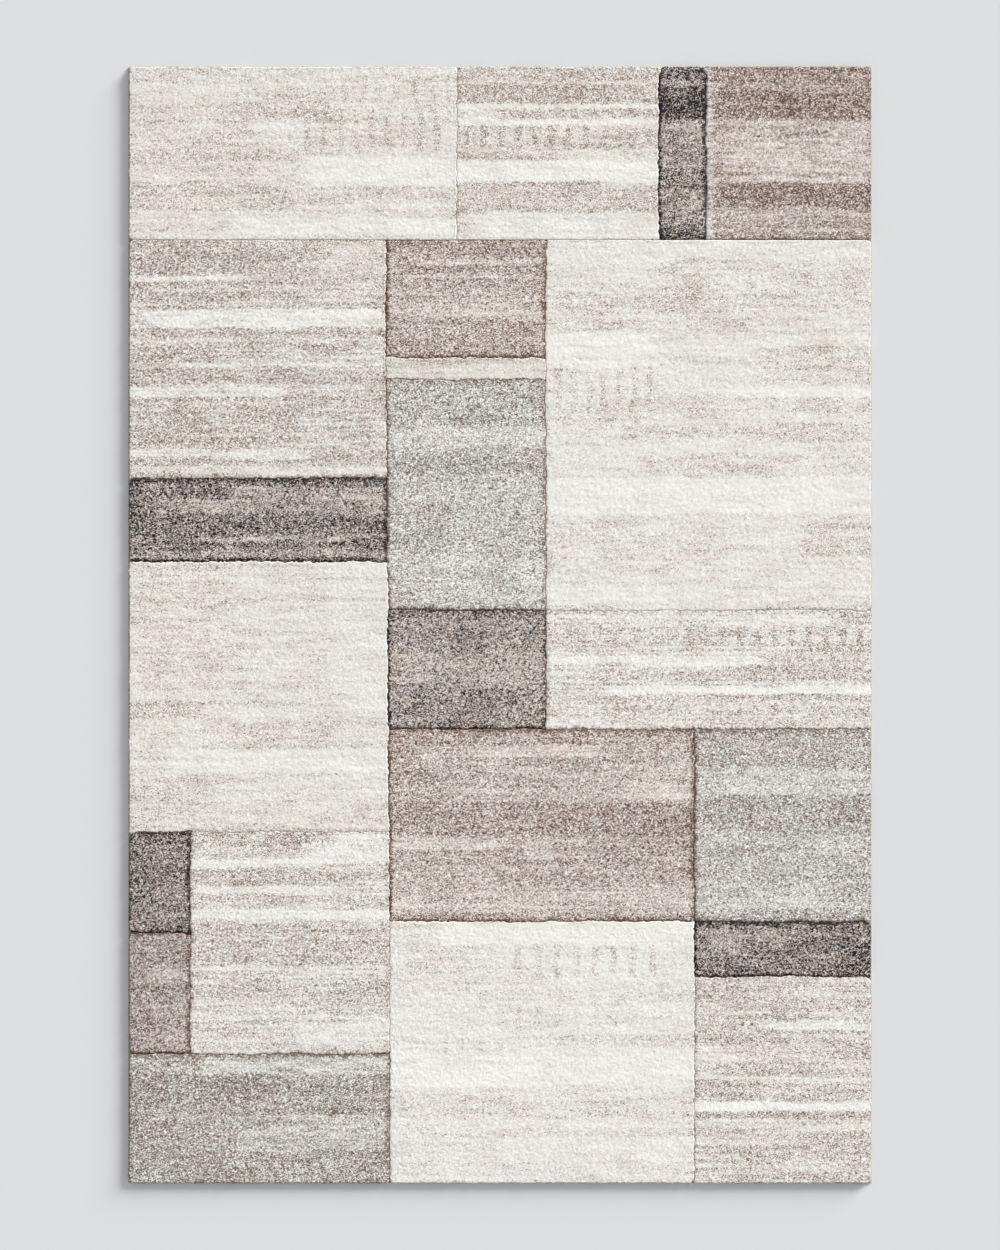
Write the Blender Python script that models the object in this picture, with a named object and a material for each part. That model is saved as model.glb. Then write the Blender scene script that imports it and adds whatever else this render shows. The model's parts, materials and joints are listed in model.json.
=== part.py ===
"""A 2 x 3 m machine-woven rug with a hand-carved cut pile.

The pile is a patchwork of rectangular blocks of yarn, parted by channels that are carved down
towards the ground weave. Under it lie the ground weave and a thin latex back coat. The long
sides are wrapped in an overlocked binding, and the short ends are taped underneath.

Frame: origin at the middle of the underside, +X across the rug, +Y along it towards the end
that folds, +Z up out of the pile. That end band folds over on the one channel that is carved
right across the rug. The pieces of the band are children of an empty on the fold's axis.
All lengths are in metres.
"""

import math

import bmesh
import bpy
from mathutils import Matrix

# ---- driving dimensions ----
RUG_WIDTH = 2.000
RUG_LENGTH = 3.000
GAP = 0.0003  # between pieces that lie on or against each other

COAT_THICK = 0.0010
WEAVE_THICK = 0.0022
PILE_TALL = 0.0112

CHANNEL_FOOT = 0.0010  # width of a carved channel where the blocks' feet nearly meet
CHANNEL_SLOPE = 0.0045  # how far a block's shoulder is carved back from its foot
BLOCK_CORNER_R = 0.0070  # radius of a block's upright corners
BLOCK_CORNER_STEPS = 3
SHOULDER_STEPS = 3

BINDING_WALL = 0.0014  # overlock yarn round the side of the ground weave
BINDING_LEG = 0.0085  # how far it wraps over and under the weave
BINDING_CHAMFER = 0.0005
TAPE_THICK = 0.0010
TAPE_WALL = 0.0010
TAPE_UNDER = 0.0300  # width of the end tape on the underside

LABEL_WIDTH = 0.060
LABEL_LENGTH = 0.040
LABEL_THICK = 0.0006
LABEL_INSET_X = 0.180  # from the right side to the label's middle
LABEL_WINDOW_GAP = 0.0010

FOLD_GAP = 0.0006  # between the end band and the rest
FOLD_AXIS_ABOVE_PILE = 0.0005

# ---- levels, from the floor up ----
WEAVE_Z = COAT_THICK + GAP
PILE_Z = WEAVE_Z + WEAVE_THICK + GAP
PILE_TOP = PILE_Z + PILE_TALL

# ---- lines of the carved patchwork ----
RIGHT = RUG_WIDTH / 2 - BINDING_LEG - GAP  # the pile stops where the binding starts
LEFT = -RIGHT
TOP = RUG_LENGTH / 2 - TAPE_WALL - GAP
BOTTOM = -TOP

X_SMALL = -0.833  # right side of the two small blocks at the left edge
X_LEFT_COLUMN = -0.302
X_END_MIDDLE = -0.116
X_MIDDLE_COLUMN = 0.123
X_END_DARK = 0.425
X_LOWER_RIGHT = 0.522
X_END_RIGHT = 0.554

Y_FOLD = 1.035  # the one channel that runs right across
Y_UPPER_TAUPE = 0.718
Y_STRIP = 0.661
Y_UPPER_LEFT = 0.395
Y_LEFT_DARK = 0.169
Y_SILVER = 0.040
Y_MIDDLE = -0.280
Y_SMALL_TOP = -0.556
Y_TAUPE = -0.798
Y_SMALL_MIDDLE = -0.828
Y_DARK_RIGHT = -0.946
Y_SMALL_BOTTOM = -1.153

FOLD_Z = PILE_TOP + FOLD_AXIS_ABOVE_PILE

# ---- yarn and backing colours: linear RGB, roughness ----
CREAM = ((0.74, 0.71, 0.66), 0.95)
BEIGE = ((0.66, 0.62, 0.57), 0.95)
TAUPE = ((0.50, 0.43, 0.39), 0.95)
SILVER = ((0.52, 0.49, 0.46), 0.95)
CHARCOAL = ((0.28, 0.24, 0.23), 0.95)
MAUVE = ((0.40, 0.33, 0.31), 0.95)
JUTE = ((0.46, 0.36, 0.24), 0.90)
LATEX = ((0.62, 0.56, 0.46), 0.70)
BINDING = ((0.60, 0.56, 0.50), 0.85)
TAPE = ((0.66, 0.62, 0.55), 0.85)
LABEL = ((0.80, 0.79, 0.76), 0.60)

# Block: left, right, bottom, top, colour
END_BLOCKS = {
    "pile_cream_end_left": (LEFT, X_END_MIDDLE, Y_FOLD, TOP, CREAM),
    "pile_cream_end_middle": (X_END_MIDDLE, X_END_DARK, Y_FOLD, TOP, CREAM),
    "pile_charcoal_end": (X_END_DARK, X_END_RIGHT, Y_FOLD, TOP, CHARCOAL),
    "pile_taupe_end_right": (X_END_RIGHT, RIGHT, Y_FOLD, TOP, TAUPE),
}
FIELD_BLOCKS = {
    "pile_beige_upper_left": (LEFT, X_LEFT_COLUMN, Y_UPPER_LEFT, Y_FOLD, BEIGE),
    "pile_charcoal_left": (LEFT, X_LEFT_COLUMN, Y_LEFT_DARK, Y_UPPER_LEFT, CHARCOAL),
    "pile_cream_middle_left": (LEFT, X_LEFT_COLUMN, Y_SMALL_TOP, Y_LEFT_DARK, CREAM),
    "pile_charcoal_small": (LEFT, X_SMALL, Y_SMALL_MIDDLE, Y_SMALL_TOP, CHARCOAL),
    "pile_mauve_small": (LEFT, X_SMALL, Y_SMALL_BOTTOM, Y_SMALL_MIDDLE, MAUVE),
    "pile_beige_lower_left": (X_SMALL, X_LEFT_COLUMN, Y_SMALL_BOTTOM, Y_SMALL_TOP, BEIGE),
    "pile_silver_bottom_left": (LEFT, X_LEFT_COLUMN, BOTTOM, Y_SMALL_BOTTOM, SILVER),
    "pile_taupe_upper": (X_LEFT_COLUMN, X_MIDDLE_COLUMN, Y_UPPER_TAUPE, Y_FOLD, TAUPE),
    "pile_cream_strip": (X_LEFT_COLUMN, X_MIDDLE_COLUMN, Y_STRIP, Y_UPPER_TAUPE, CREAM),
    "pile_silver_middle": (X_LEFT_COLUMN, X_MIDDLE_COLUMN, Y_SILVER, Y_STRIP, SILVER),
    "pile_charcoal_middle": (X_LEFT_COLUMN, X_MIDDLE_COLUMN, Y_MIDDLE, Y_SILVER, CHARCOAL),
    "pile_cream_right": (X_MIDDLE_COLUMN, RIGHT, Y_SILVER, Y_FOLD, CREAM),
    "pile_beige_right": (X_MIDDLE_COLUMN, RIGHT, Y_MIDDLE, Y_SILVER, BEIGE),
    "pile_taupe_lower": (X_LEFT_COLUMN, X_LOWER_RIGHT, Y_TAUPE, Y_MIDDLE, TAUPE),
    "pile_silver_right": (X_LOWER_RIGHT, RIGHT, Y_TAUPE, Y_MIDDLE, SILVER),
    "pile_cream_bottom": (X_LEFT_COLUMN, X_LOWER_RIGHT, BOTTOM, Y_TAUPE, CREAM),
    "pile_charcoal_right": (X_LOWER_RIGHT, RIGHT, Y_DARK_RIGHT, Y_TAUPE, CHARCOAL),
    "pile_beige_bottom_right": (X_LOWER_RIGHT, RIGHT, BOTTOM, Y_DARK_RIGHT, BEIGE),
}


def clear_scene():
    for obj in list(bpy.data.objects):
        bpy.data.objects.remove(obj)


def new_collection(name):
    collection = bpy.data.collections.new(name)
    bpy.context.scene.collection.children.link(collection)
    return collection


def new_empty(name, place):
    empty = bpy.data.objects.new(name, None)
    empty.location = place
    empty.empty_display_size = 0.1
    rug.objects.link(empty)
    return empty


def finish_of(name, look):
    """The piece's own Principled material."""
    colour, roughness = look
    material = bpy.data.materials.new(name)
    material.use_nodes = True
    shader = material.node_tree.nodes["Principled BSDF"]
    shader.inputs["Base Color"].default_value = (*colour, 1.0)
    shader.inputs["Roughness"].default_value = roughness
    shader.inputs["Metallic"].default_value = 0.0
    return material


def add_piece(name, data, centre, parent, look):
    """Puts a mesh or curve in the rug at its place in the rug's frame, as a child of parent."""
    obj = bpy.data.objects.new(name, data)
    obj.parent = parent
    obj.location = [c - p for c, p in zip(centre, parent.location)]
    obj.data.materials.append(finish_of(name, look))
    rug.objects.link(obj)
    return obj


def box_mesh(name, size):
    """A box of that size about its own middle."""
    bm = bmesh.new()
    bmesh.ops.create_cube(bm, size=1.0, matrix=Matrix.Diagonal((*size, 1.0)))
    mesh = bpy.data.meshes.new(name)
    bm.to_mesh(mesh)
    bm.free()
    return mesh


def carved_block_mesh(name, size):
    """A block of pile: upright corners rounded in plan, and shoulders carved off round the top."""
    bm = bmesh.new()
    bmesh.ops.create_cube(bm, size=1.0, matrix=Matrix.Diagonal((*size, 1.0)))
    upright = [e for e in bm.edges if abs(e.verts[0].co.z - e.verts[1].co.z) > size[2] / 2]
    bmesh.ops.bevel(
        bm, geom=upright, offset=BLOCK_CORNER_R, segments=BLOCK_CORNER_STEPS, profile=0.5,
        affect="EDGES",
    )
    level = size[2] / 2 - GAP
    rim = [
        e for e in bm.edges
        if min(v.co.z for v in e.verts) > level
        and any(max(v.co.z for v in f.verts) - min(v.co.z for v in f.verts) > level
                for f in e.link_faces)
    ]
    bmesh.ops.bevel(
        bm, geom=rim, offset=CHANNEL_SLOPE, segments=SHOULDER_STEPS, profile=0.5,
        affect="EDGES", clamp_overlap=True,
    )
    mesh = bpy.data.meshes.new(name)
    bm.to_mesh(mesh)
    bm.free()
    mesh.shade_smooth()
    mesh.set_sharp_from_angle(angle=math.radians(40))
    return mesh


def add_block(name, left, right, bottom, top, look, parent):
    """A block of pile between four lines, standing half a channel's foot back from each."""
    foot = CHANNEL_FOOT / 2
    size = (right - left - 2 * foot, top - bottom - 2 * foot, PILE_TALL)
    centre = ((left + right) / 2, (bottom + top) / 2, PILE_Z + PILE_TALL / 2)
    return add_piece(name, carved_block_mesh(name, size), centre, parent, look)


def add_slab(name, left, right, bottom, top, floor, thick, look, parent):
    size = (right - left, top - bottom, thick)
    centre = ((left + right) / 2, (bottom + top) / 2, floor + thick / 2)
    return add_piece(name, box_mesh(name, size), centre, parent, look)


def outline_curve(name, points, long):
    """A flat closed outline, filled and extruded to that length about its own plane."""
    curve = bpy.data.curves.new(name, "CURVE")
    curve.dimensions = "2D"
    curve.fill_mode = "BOTH"
    curve.extrude = long / 2
    spline = curve.splines.new("POLY")
    spline.points.add(len(points) - 1)
    for point, (x, y) in zip(spline.points, points):
        point.co = (x, y, 0.0, 1.0)
    spline.use_cyclic_u = True
    return curve


def add_side_binding(name, side, bottom, top, parent):
    """The overlock: a C that wraps over, round and under the side of the ground weave.

    side is -1 at the left and 1 at the right. The outline is drawn with x outwards and y up.
    """
    high = WEAVE_Z + WEAVE_THICK + GAP + BINDING_WALL
    slot_low, slot_high = WEAVE_Z - GAP, WEAVE_Z + WEAVE_THICK + GAP
    cut = BINDING_CHAMFER
    points = [
        (-BINDING_LEG, 0.0), (-cut, 0.0), (0.0, cut), (0.0, high - cut), (-cut, high),
        (-BINDING_LEG + cut, high), (-BINDING_LEG, high - cut), (-BINDING_LEG, slot_high),
        (-BINDING_WALL, slot_high), (-BINDING_WALL, slot_low), (-BINDING_LEG, slot_low),
    ]
    outline = [(side * x, y) for x, y in points][::side]
    curve = outline_curve(name, outline, top - bottom)
    centre = (side * RUG_WIDTH / 2, (bottom + top) / 2, 0.0)
    obj = add_piece(name, curve, centre, parent, BINDING)
    obj.rotation_euler = (math.radians(90), 0.0, 0.0)
    return obj


def add_end_tape(name, side, parent):
    """The tape that is folded up over the end of the weave and lies flat on the underside.

    side is -1 at the bottom and 1 at the top. The outline is drawn with x outwards and y up.
    """
    high = WEAVE_Z + WEAVE_THICK
    cut = BINDING_CHAMFER
    points = [
        (-TAPE_UNDER, 0.0), (-cut, 0.0), (0.0, cut), (0.0, high - cut), (-cut, high),
        (-TAPE_WALL, high), (-TAPE_WALL, TAPE_THICK), (-TAPE_UNDER, TAPE_THICK),
    ]
    outline = [(side * x, y) for x, y in points][::side]
    half_width = RUG_WIDTH / 2 - BINDING_LEG - GAP
    curve = outline_curve(name, outline, 2 * half_width)
    obj = add_piece(name, curve, (0.0, side * RUG_LENGTH / 2, 0.0), parent, TAPE)
    obj.rotation_euler = (math.radians(90), 0.0, math.radians(90))
    return obj


def cut_window(obj, size, centre):
    """Cuts a box right through obj, to leave room for a piece that lies in its thickness."""
    cutter = bpy.data.objects.new(obj.name + "_window", box_mesh("window", size))
    cutter.location = centre
    cutter.hide_render = True
    cutter.display_type = "WIRE"
    cutters.objects.link(cutter)
    cut = obj.modifiers.new("label_window", "BOOLEAN")
    cut.operation = "DIFFERENCE"
    cut.solver = "EXACT"
    cut.object = cutter


def add_backing(part, bottom, top, parent):
    """The ground weave, the coat and both side bindings of one part of the rug."""
    weave_half = RUG_WIDTH / 2 - BINDING_WALL - GAP
    weave_end = RUG_LENGTH / 2 - TAPE_WALL - GAP
    coat_half = RUG_WIDTH / 2 - BINDING_LEG - GAP
    coat_end = RUG_LENGTH / 2 - TAPE_UNDER - GAP
    add_slab(
        "ground_weave_" + part, -weave_half, weave_half, max(bottom, -weave_end),
        min(top, weave_end), WEAVE_Z, WEAVE_THICK, JUTE, parent,
    )
    coat = add_slab(
        "back_coat_" + part, -coat_half, coat_half, max(bottom, -coat_end),
        min(top, coat_end), 0.0, COAT_THICK, LATEX, parent,
    )
    add_side_binding("side_binding_left_" + part, -1, bottom, top, parent)
    add_side_binding("side_binding_right_" + part, 1, bottom, top, parent)
    return coat


def add_label(coat, parent):
    """The blank care label, sewn flat on the underside against the end tape."""
    centre_x = RUG_WIDTH / 2 - LABEL_INSET_X
    centre_y = RUG_LENGTH / 2 - TAPE_UNDER - GAP - LABEL_WINDOW_GAP - LABEL_LENGTH / 2
    middle = (centre_x, centre_y, LABEL_THICK / 2)
    mesh = box_mesh("care_label", (LABEL_WIDTH, LABEL_LENGTH, LABEL_THICK))
    add_piece("care_label", mesh, middle, parent, LABEL)
    window = (
        LABEL_WIDTH + 2 * LABEL_WINDOW_GAP, LABEL_LENGTH + 2 * LABEL_WINDOW_GAP, 4 * COAT_THICK,
    )
    cut_window(coat, window, middle)


clear_scene()
rug = new_collection("area_rug")
cutters = new_collection("cutters")
field = new_empty("rug_field", (0.0, 0.0, 0.0))
end_band = new_empty("end_band", (0.0, Y_FOLD, FOLD_Z))

for block, (west, east, south, north, yarn) in FIELD_BLOCKS.items():
    add_block(block, west, east, south, north, yarn, field)
for block, (west, east, south, north, yarn) in END_BLOCKS.items():
    add_block(block, west, east, south, north, yarn, end_band)

add_backing("field", -RUG_LENGTH / 2, Y_FOLD - FOLD_GAP / 2, field)
band_coat = add_backing("end", Y_FOLD + FOLD_GAP / 2, RUG_LENGTH / 2, end_band)
add_label(band_coat, end_band)
add_end_tape("end_tape_bottom", -1, field)
add_end_tape("end_tape_top", 1, end_band)
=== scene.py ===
import json
import math

import bpy
import numpy as np
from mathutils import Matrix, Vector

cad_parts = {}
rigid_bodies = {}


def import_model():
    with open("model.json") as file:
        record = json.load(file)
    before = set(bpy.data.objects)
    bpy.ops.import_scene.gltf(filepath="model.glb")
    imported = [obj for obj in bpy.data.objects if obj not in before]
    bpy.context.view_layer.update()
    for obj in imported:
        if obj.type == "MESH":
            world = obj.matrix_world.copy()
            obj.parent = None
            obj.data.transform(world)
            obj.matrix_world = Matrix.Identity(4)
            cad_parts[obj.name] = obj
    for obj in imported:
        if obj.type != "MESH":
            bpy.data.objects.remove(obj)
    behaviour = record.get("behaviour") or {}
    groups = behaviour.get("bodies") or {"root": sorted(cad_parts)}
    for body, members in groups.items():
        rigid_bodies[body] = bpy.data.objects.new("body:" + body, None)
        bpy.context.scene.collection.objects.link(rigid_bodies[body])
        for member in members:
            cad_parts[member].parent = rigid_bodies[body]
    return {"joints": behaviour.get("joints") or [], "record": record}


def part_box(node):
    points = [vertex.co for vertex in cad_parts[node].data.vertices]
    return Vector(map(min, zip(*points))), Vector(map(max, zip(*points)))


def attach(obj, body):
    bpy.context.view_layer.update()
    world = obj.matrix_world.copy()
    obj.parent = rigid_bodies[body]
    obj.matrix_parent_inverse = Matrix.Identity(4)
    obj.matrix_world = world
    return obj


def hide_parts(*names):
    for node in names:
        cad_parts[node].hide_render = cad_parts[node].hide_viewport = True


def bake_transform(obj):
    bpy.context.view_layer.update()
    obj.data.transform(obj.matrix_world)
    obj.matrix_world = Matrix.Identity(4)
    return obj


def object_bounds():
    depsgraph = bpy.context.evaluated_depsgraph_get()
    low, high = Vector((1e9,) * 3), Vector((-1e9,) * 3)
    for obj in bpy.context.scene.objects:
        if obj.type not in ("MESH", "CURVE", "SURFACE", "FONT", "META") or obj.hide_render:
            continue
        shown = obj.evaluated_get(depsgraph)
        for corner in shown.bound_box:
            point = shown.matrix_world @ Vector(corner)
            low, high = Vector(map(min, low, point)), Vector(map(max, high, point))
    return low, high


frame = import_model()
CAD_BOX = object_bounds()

# A machine-woven rug with a hand-carved cut pile, seen from straight above. All lengths are in metres.
# Every place comes from the frame: each block of pile is built in the box of its CAD node.

# ---- the camera and the room ----
LENS = 135.0  # millimetres, on a 36 mm sensor along the picture's longer side
VIEW_TALL = 3.36  # what the picture's height shows, at the pile
SENSOR = 36.0
FLOOR_SIZE = 60.0
FLOOR_ALBEDO = (0.600, 0.612, 0.625)
WORLD_LIGHT = 0.64
SUN_STRENGTH = 7.60
SUN_ELEVATION = math.radians(13.5)
SUN_HEADING = math.radians(42)  # from +X towards +Y
SUN_SOFTNESS = 0.50  # radians

# ---- the pile ----
FINEST_STEP = 0.0026  # between neighbouring points of the pile's surface
MOST_CELLS = 82000  # in one block
RIM_PLACES = (0.0, 0.0009, 0.0020, 0.0033, 0.0048, 0.0066)  # closer points beside a carved channel
RIM_END = 0.0090
CHANNEL_HALF_FOOT = 0.0005
CLOSED_FOOT = 0.0005  # carved sides stand this much nearer together than their CAD blocks
CLOSED_FOLD = 0.0003  # and those on either side of the fold
CLOSING_REACH = 0.003
LINE_NEAR = 0.002  # sides nearer than this to a line lie on it
EDGE_NEAR = 0.02  # and blocks nearer than this to the rug's edge reach it
RIM_WIDE = 0.0050  # how far in from a channel the darker rim of painted shade reaches
RIM_FADE = 0.0035
RIM_AT_FOLD = 0.35  # how much of a rim shows beside the channel across the fold
RIM_WARMTH = 1.2  # how much browner the painted shade of a rim makes the yarn
OUTER_SHOULDER = 0.0022  # the shoulder along the rug's outer sides
OUTER_RIM_FADE = 0.004
CORNER_R = 0.006
FOOT_ABOVE_WEAVE = 0.0010
CROWN_BELOW_BOX = 0.0004
TUFT_LOOSE = 0.28  # how far tufts stray from their rows, as a share of the step between them
TUFT_RISE = 0.00025  # random height of single tufts
CLUMP_RISE = 0.00025  # of clumps about 10 mm across
SWELL_RISE = 0.00030  # of slow swells in the pile
WAVE = 0.0046  # how far a hand-carved channel wanders
WAVE_REACH = 0.020
FOLD_WAVE = 0.0007  # the channel across the fold is carved along a rule
# Channels that turn off their line just before they meet the rug's edge, which rounds the dark blocks'
# corners: how far each turns at its left or lower end, and at its right or upper end.
END_BENDS = {
    0.425: (0.0, 0.012), 0.554: (0.0, -0.011), 0.522: (-0.004, 0.0), 0.395: (-0.011, 0.0),
    0.169: (0.009, 0.0), -0.556: (-0.013, 0.0), -0.828: (0.004, 0.0), -1.153: (0.004, 0.0),
    -0.798: (0.0, -0.012), -0.946: (0.0, -0.007), -0.280: (0.0, 0.005), 0.040: (0.0, 0.004),
}
END_BEND_REACH = 0.024
LEAN_OF_LINE = {-0.302: -0.0050}  # metres per metre: this channel drifts to the right going down
OVERHANG_SIDE = 0.0080  # the pile leans out over the side binding
OVERHANG_END = 0.0030
OVERHANG_REACH = 0.0080
DROOP = 0.0003  # the pile's outer lip hangs lower
DROOP_REACH = 0.0035
SUNNY_SIDES = (1, 3)  # the right and the upper side face the light
SUN_SIDE_SHADE = 0.35  # how much painted shade darkens the pile's outer lip on them
SUN_SIDE_REACH = 0.004
END_LAYERS = 2  # rows of single yarn ends along the rug's outer sides
END_ROOT_IN = 0.0012  # how far inside the pile they start
YARN_END_SHAPE = ((0.0, 1.0), (0.5, 1.05), (0.85, 0.8), (1.0, 0.35))  # shares of length and thickness
SHADED_FOOT = 0.42  # how light the yarn is deep down in the pile, where little light gets in

# ---- the fold ----
FOLD = frame["joints"][0]
FOLD_Y = FOLD["pos_m"][1]
FOLD_REACH = 0.012

# Yarn: how wide its carved shoulder is, what share of the pile's height is carved away, how dark the painted
# shade of its rim is, how mixed its yarn ends are, how streaky it is, how far their hues differ, how strong
# its woven rows are, what share of a darker row is even and how much more mixed its yarn ends are, how strong
# its fine lines are, and its colours as they look in plain light, sRGB from the darkest yarn to the lightest.
YARNS = {
    "cream": dict(
        shoulder=0.0040, carved=0.14, rim=0.09, mix=0.86, streak=0.17, hue=0.030,
        rows=1.30, smooth=0.60, specks=3.4, lines=0.08,
        colours=((146, 126, 113), (203, 190, 179), (224, 221, 215), (235, 234, 229), (242, 241, 236)),
    ),
    "beige": dict(
        shoulder=0.0042, carved=0.24, rim=0.22, mix=1.32, streak=0.17, hue=0.045,
        rows=1.15, smooth=0.70, specks=2.3, lines=0.14,
        colours=((130, 107, 93), (184, 168, 157), (215, 211, 205), (234, 233, 229), (243, 242, 238)),
    ),
    "taupe": dict(
        shoulder=0.0048, carved=0.55, rim=0.74, mix=1.98, streak=0.16, hue=0.070,
        rows=1.15, smooth=1.00, specks=1.4, lines=0.15,
        colours=((108, 81, 69), (154, 131, 121), (193, 180, 172), (222, 214, 207), (239, 234, 229)),
    ),
    "silver": dict(
        shoulder=0.0048, carved=0.50, rim=0.52, mix=1.92, streak=0.16, hue=0.060,
        rows=0.95, smooth=0.92, specks=1.6, lines=0.07,
        colours=((112, 95, 85), (158, 143, 133), (197, 194, 188), (225, 226, 221), (243, 244, 240)),
    ),
    "charcoal": dict(
        shoulder=0.0054, carved=0.72, rim=0.70, mix=2.22, streak=0.20, hue=0.120,
        rows=1.00, smooth=1.00, specks=0.9, lines=0.09,
        colours=((30, 29, 33), (84, 73, 70), (150, 137, 131), (201, 190, 183), (228, 219, 212)),
    ),
    "mauve": dict(
        shoulder=0.0050, carved=0.60, rim=0.62, mix=2.25, streak=0.15, hue=0.090,
        rows=1.00, smooth=1.00, specks=1.2, lines=0.10,
        colours=((94, 73, 67), (140, 119, 111), (176, 163, 157), (208, 199, 194), (228, 221, 216)),
    ),
}
RAMP_PLACES = (0.02, 0.16, 0.50, 0.84, 0.98)
PILE_GAIN = 0.90  # from a colour as it looks to the yarn's own albedo, under this light
YARN_ENDS = (430.0, 650.0, 0.0)  # yarn ends to the metre, across and along the rug
STREAKS = (  # how strong the streaks in a yarn are, how wide, how tall, and their seed
    (0.75, 0.110, 0.0110, 21),
    (0.55, 0.030, 0.0065, 22),
    (0.45, 0.060, 0.050, 23),
)

# How much lighter or darker a whole block is than its yarn's usual shade.
SHADES = {
    "cream_end_left": 0.04, "cream_right": 0.13, "cream_bottom": 0.21, "cream_middle_left": 0.07,
    "beige_right": 0.20, "beige_lower_left": 0.12, "beige_bottom_right": 0.08,
    "silver_bottom_left": -0.18, "silver_right": -0.03, "taupe_end_right": -0.21,
    "taupe_lower": 0.06, "charcoal_end": -0.17, "charcoal_small": -0.21, "charcoal_left": -0.10,
    "charcoal_middle": 0.05, "charcoal_right": -0.12, "mauve_small": -0.09,
    "silver_middle": 0.04, "taupe_upper": 0.03, "cream_strip": -0.04,
}
# How much stronger or fainter the rows of some blocks are.
ROW_STRENGTHS = {
    "silver_bottom_left": 2.9, "charcoal_left": 2.4, "taupe_end_right": 1.9, "mauve_small": 1.9,
    "charcoal_middle": 0.8, "charcoal_right": 2.2, "cream_strip": 0.7, "charcoal_end": 2.2,
    "cream_end_middle": 1.1, "taupe_lower": 1.3,
}
# This block's right side runs on into the next without a carved channel.
UNCARVED_RIGHT = "cream_strip"
# A strip down the left of this block is cool and nearly white: what share of its width, and how cool.
COOL_STRIPS = {"taupe_end_right": (0.045, -1.8)}
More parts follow.
